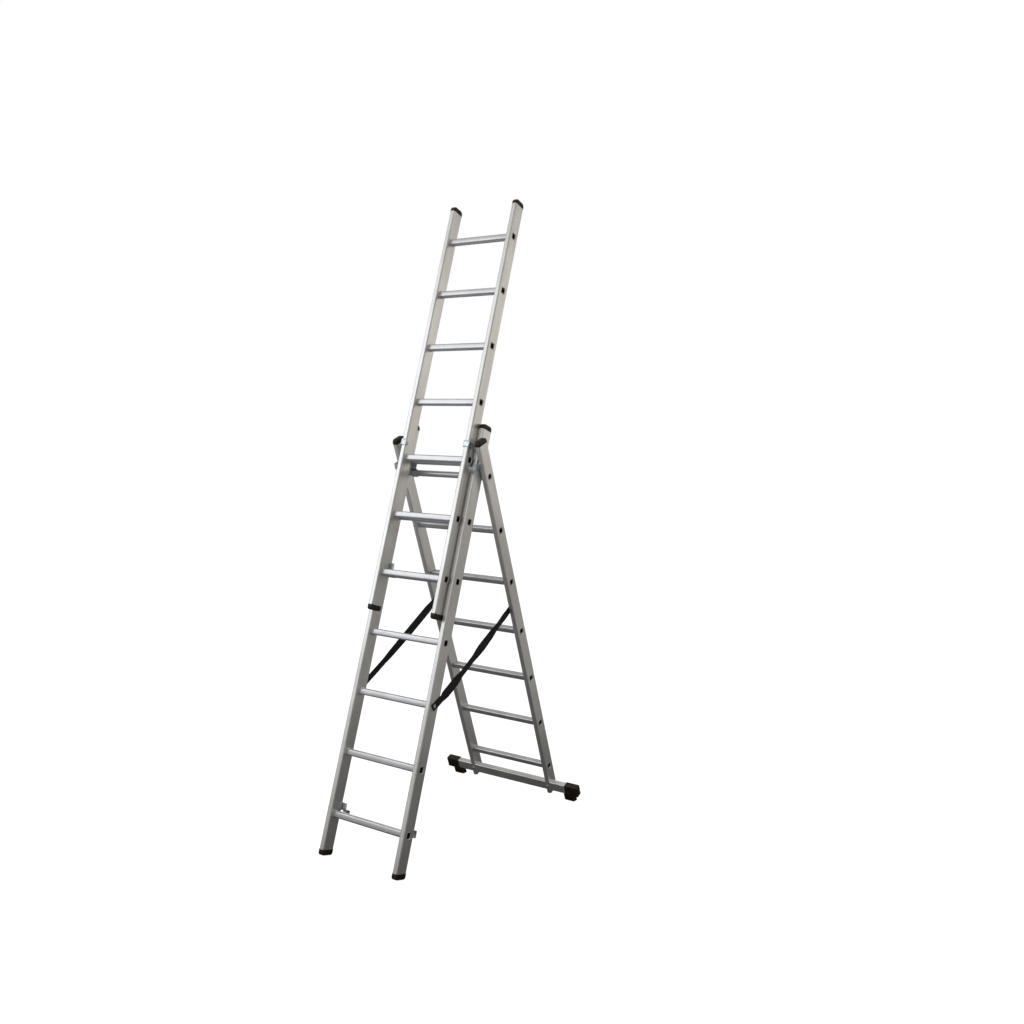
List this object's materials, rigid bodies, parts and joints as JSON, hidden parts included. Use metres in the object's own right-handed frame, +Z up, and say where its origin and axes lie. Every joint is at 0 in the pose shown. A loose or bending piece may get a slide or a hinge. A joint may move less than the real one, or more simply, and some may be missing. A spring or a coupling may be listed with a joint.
{
  "type": "combination ladder",
  "caption": "Aluminium combination ladder standing as an A-frame, with a sliding fly section raised above the apex, hinged rear section, wide stabiliser bar and webbing spread straps.",
  "frame": {"origin": "on the floor, under the middle of the standing ladder's box", "axes": "+Z up, +X to the right seen from the climbing side, +Y from the climbing side to the rear section"},
  "size_m": [0.84, 1.3406, 3.0636],
  "materials": {
    "stile_aluminium": "extruded, mill finish with fine lengthwise lines",
    "rung_aluminium": "extruded, ribbed tread",
    "zinc_plate": "bright zinc plated",
    "rivet_steel": "plain steel rivet heads",
    "bolt_steel": "zinc plated",
    "black_plastic": "moulded, satin",
    "webbing": "woven nylon webbing"
  },
  "bodies": {
    "front": {"front_stile_left": "stile_aluminium", "front_stile_right": "stile_aluminium", "front_rung_1": "rung_aluminium", "front_rung_2": "rung_aluminium", "front_rung_3": "rung_aluminium", "front_rung_4": "rung_aluminium", "front_rung_5": "rung_aluminium", "front_rung_6": "rung_aluminium", "front_rung_7": "rung_aluminium", "front_cap_left": "black_plastic", "front_cap_right": "black_plastic", "front_rivets": "rivet_steel", "front_foot_left": "black_plastic", "front_guide_left": "zinc_plate", "hinge_hook_left": "zinc_plate", "front_hook_left": "zinc_plate", "strap_left": "webbing", "front_foot_right": "black_plastic", "front_guide_right": "zinc_plate", "hinge_hook_right": "zinc_plate", "front_hook_right": "zinc_plate", "strap_right": "webbing", "strap_anchors_front": "bolt_steel"},
    "fly": {"fly_stile_left": "stile_aluminium", "fly_stile_right": "stile_aluminium", "fly_rung_1": "rung_aluminium", "fly_rung_2": "rung_aluminium", "fly_rung_3": "rung_aluminium", "fly_rung_4": "rung_aluminium", "fly_rung_5": "rung_aluminium", "fly_rung_6": "rung_aluminium", "fly_rung_7": "rung_aluminium", "fly_cap_left": "black_plastic", "fly_cap_right": "black_plastic", "fly_rivets": "rivet_steel", "fly_foot_left": "black_plastic", "fly_hook_left": "zinc_plate", "fly_foot_right": "black_plastic", "fly_hook_right": "zinc_plate"},
    "rear": {"rear_stile_left": "stile_aluminium", "rear_stile_right": "stile_aluminium", "rear_rung_1": "rung_aluminium", "rear_rung_2": "rung_aluminium", "rear_rung_3": "rung_aluminium", "rear_rung_4": "rung_aluminium", "rear_rung_5": "rung_aluminium", "rear_rung_6": "rung_aluminium", "rear_rung_7": "rung_aluminium", "rear_cap_left": "black_plastic", "rear_cap_right": "black_plastic", "rear_rivets": "rivet_steel", "rear_guide_left": "zinc_plate", "bar_foot_left": "black_plastic", "rear_guide_right": "zinc_plate", "bar_foot_right": "black_plastic", "stabiliser_bar": "stile_aluminium", "bar_bolts": "bolt_steel", "strap_anchors_rear": "bolt_steel"}
  },
  "joints": [
    {"name": "rear_fold", "type": "hinge", "parent": "front", "child": "rear", "pos_m": [0, -0.0662, 1.73201], "axis": [-1, 0, 0], "range_deg": [0, 38.5], "deforming": ["strap_left", "strap_right"]},
    {"name": "fly_slide", "type": "slide", "parent": "front", "child": "fly", "axis": [0, -0.289, -0.9573], "range_m": [0, 1.12]}
  ]
}
